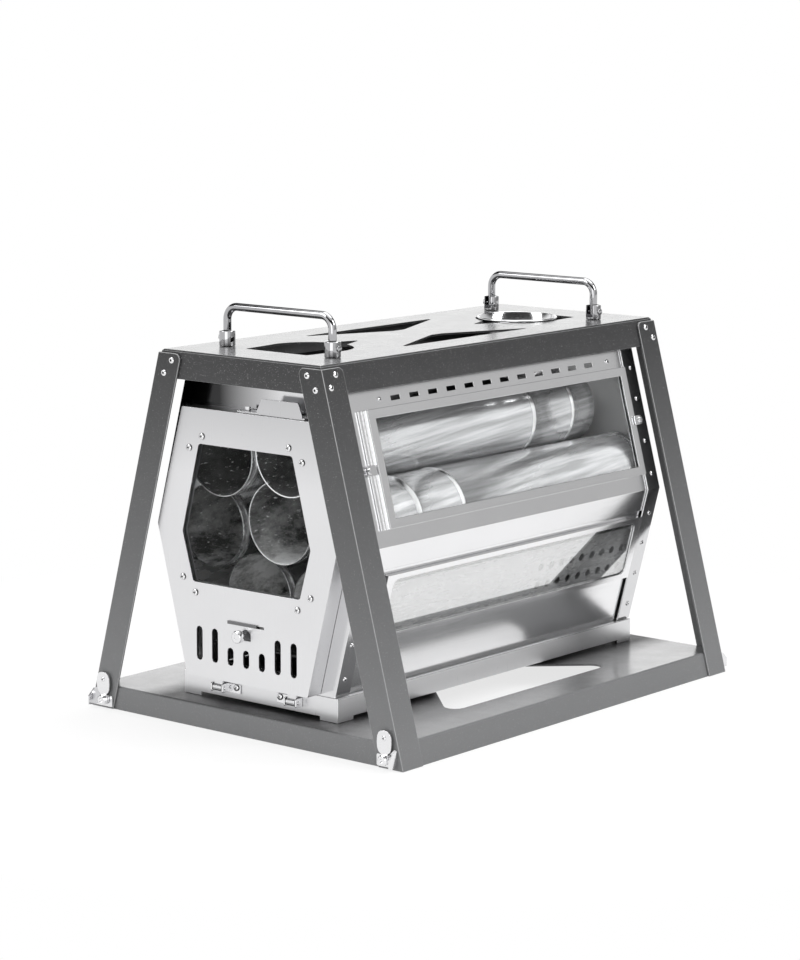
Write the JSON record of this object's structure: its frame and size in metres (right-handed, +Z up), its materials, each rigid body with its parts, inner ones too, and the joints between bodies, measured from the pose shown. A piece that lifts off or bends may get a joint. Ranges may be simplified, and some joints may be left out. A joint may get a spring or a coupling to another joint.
{
  "type": "tent wood stove",
  "caption": "Hexagonal glass-sided camping wood stove in a folding carry frame, with its flue pipe sections stored inside.",
  "frame": {"origin": "middle of the carry frame's footprint, on the ground", "axes": "+Z up, +Y along the stove from the door to the rear, +X to the right seen from the door"},
  "size_m": [0.4084, 0.5584, 0.4133],
  "materials": {
    "frame_paint": "matt powder coat",
    "body_steel": "fine brushed",
    "bright_steel": "bright",
    "pipe_steel": "polished, scratched",
    "chrome": "polished",
    "dark_steel": "heat darkened",
    "glass": "clear heat-resistant"
  },
  "bodies": {
    "stove": {"top_plate": "frame_paint", "base_plate": "frame_paint", "leg_front_right": "frame_paint", "leg_front_left": "frame_paint", "leg_rear_right": "frame_paint", "leg_rear_left": "frame_paint", "handle_socket_front_right": "chrome", "handle_socket_front_left": "chrome", "handle_socket_rear_right": "chrome", "handle_socket_rear_left": "chrome", "frame_latch_bracket_front_right": "bright_steel", "frame_latch_bracket_front_left": "bright_steel", "frame_latch_bracket_rear_right": "bright_steel", "frame_latch_bracket_rear_left": "bright_steel", "ash_tray": "body_steel", "front_frame": "body_steel", "rear_panel": "body_steel", "upper_panel_right": "body_steel", "upper_panel_left": "body_steel", "lower_panel_right": "body_steel", "lower_panel_left": "body_steel", "roof_plate": "body_steel", "flue_collar": "bright_steel", "upper_window_frame_right": "body_steel", "upper_window_frame_left": "body_steel", "upper_window_glass_right": "glass", "upper_window_glass_left": "glass", "lower_window_frame_right": "bright_steel", "lower_window_frame_left": "bright_steel", "lower_window_glass_right": "glass", "lower_window_glass_left": "glass", "fire_grate": "dark_steel", "air_duct_right": "dark_steel", "air_duct_left": "dark_steel", "flue_pipe_top_left": "pipe_steel", "flue_pipe_top_right": "pipe_steel", "flue_pipe_middle_left": "pipe_steel", "flue_pipe_middle": "pipe_steel", "flue_pipe_middle_right": "pipe_steel", "flue_pipe_bottom_left": "pipe_steel", "flue_pipe_bottom_right": "pipe_steel", "door_hinge_right": "bright_steel", "door_hinge_left": "bright_steel"},
    "front_handle": {"carry_handle_front": "chrome"},
    "rear_handle": {"carry_handle_rear": "chrome"},
    "latch_front_right": {"frame_latch_lever_front_right": "bright_steel"},
    "latch_front_left": {"frame_latch_lever_front_left": "bright_steel"},
    "latch_rear_right": {"frame_latch_lever_rear_right": "bright_steel"},
    "latch_rear_left": {"frame_latch_lever_rear_left": "bright_steel"},
    "clip_front_right": {"window_clip_front_right": "bright_steel"},
    "clip_front_left": {"window_clip_front_left": "bright_steel"},
    "clip_rear_right": {"window_clip_rear_right": "bright_steel"},
    "clip_rear_left": {"window_clip_rear_left": "bright_steel"},
    "door": {"door_panel": "body_steel", "door_glass": "glass", "glass_retainer": "body_steel", "latch_pivot": "bright_steel"},
    "door_lever": {"door_latch": "body_steel"},
    "damper": {"damper_slide": "dark_steel", "damper_knob": "bright_steel"}
  },
  "joints": [
    {"name": "front_handle_fold", "type": "hinge", "parent": "stove", "child": "front_handle", "pos_m": [0, -0.209, 0.3785], "axis": [-1, 0, 0], "range_deg": [0, 90]},
    {"name": "rear_handle_fold", "type": "hinge", "parent": "stove", "child": "rear_handle", "pos_m": [0, 0.209, 0.3785], "axis": [1, 0, 0], "range_deg": [0, 90]},
    {"name": "front_right_latch_turn", "type": "hinge", "parent": "stove", "child": "latch_front_right", "pos_m": [0.184, -0.2704, 0.0092], "axis": [0, -1, 0], "range_deg": [0, 90]},
    {"name": "front_left_latch_turn", "type": "hinge", "parent": "stove", "child": "latch_front_left", "pos_m": [-0.184, -0.2704, 0.0092], "axis": [0, 1, 0], "range_deg": [0, 90]},
    {"name": "rear_right_latch_turn", "type": "hinge", "parent": "stove", "child": "latch_rear_right", "pos_m": [0.184, 0.2704, 0.0092], "axis": [0, -1, 0], "range_deg": [0, 90]},
    {"name": "rear_left_latch_turn", "type": "hinge", "parent": "stove", "child": "latch_rear_left", "pos_m": [-0.184, 0.2704, 0.0092], "axis": [0, 1, 0], "range_deg": [0, 90]},
    {"name": "front_right_clip_turn", "type": "hinge", "parent": "stove", "child": "clip_front_right", "pos_m": [0.11374, -0.215, 0.2652], "axis": [0.966, 0, 0.2586], "range_deg": [0, 90]},
    {"name": "front_left_clip_turn", "type": "hinge", "parent": "stove", "child": "clip_front_left", "pos_m": [-0.11374, -0.215, 0.2652], "axis": [0.966, 0, -0.2586], "range_deg": [0, 90]},
    {"name": "rear_right_clip_turn", "type": "hinge", "parent": "stove", "child": "clip_rear_right", "pos_m": [0.11374, 0.223, 0.2652], "axis": [-0.966, 0, -0.2586], "range_deg": [0, 90]},
    {"name": "rear_left_clip_turn", "type": "hinge", "parent": "stove", "child": "clip_rear_left", "pos_m": [-0.11374, 0.223, 0.2652], "axis": [-0.966, 0, 0.2586], "range_deg": [0, 90]},
    {"name": "door_drop", "type": "hinge", "parent": "stove", "child": "door", "pos_m": [0, -0.246, 0.0385], "axis": [1, 0, 0], "range_deg": [0, 90]},
    {"name": "door_lever_turn", "type": "hinge", "parent": "door", "child": "door_lever", "pos_m": [-0.005, -0.248, 0.316], "axis": [0, 0, 1], "range_deg": [-30, 0]},
    {"name": "damper_slide_move", "type": "slide", "parent": "door", "child": "damper", "axis": [1, 0, 0], "range_m": [0, 0.008]}
  ]
}
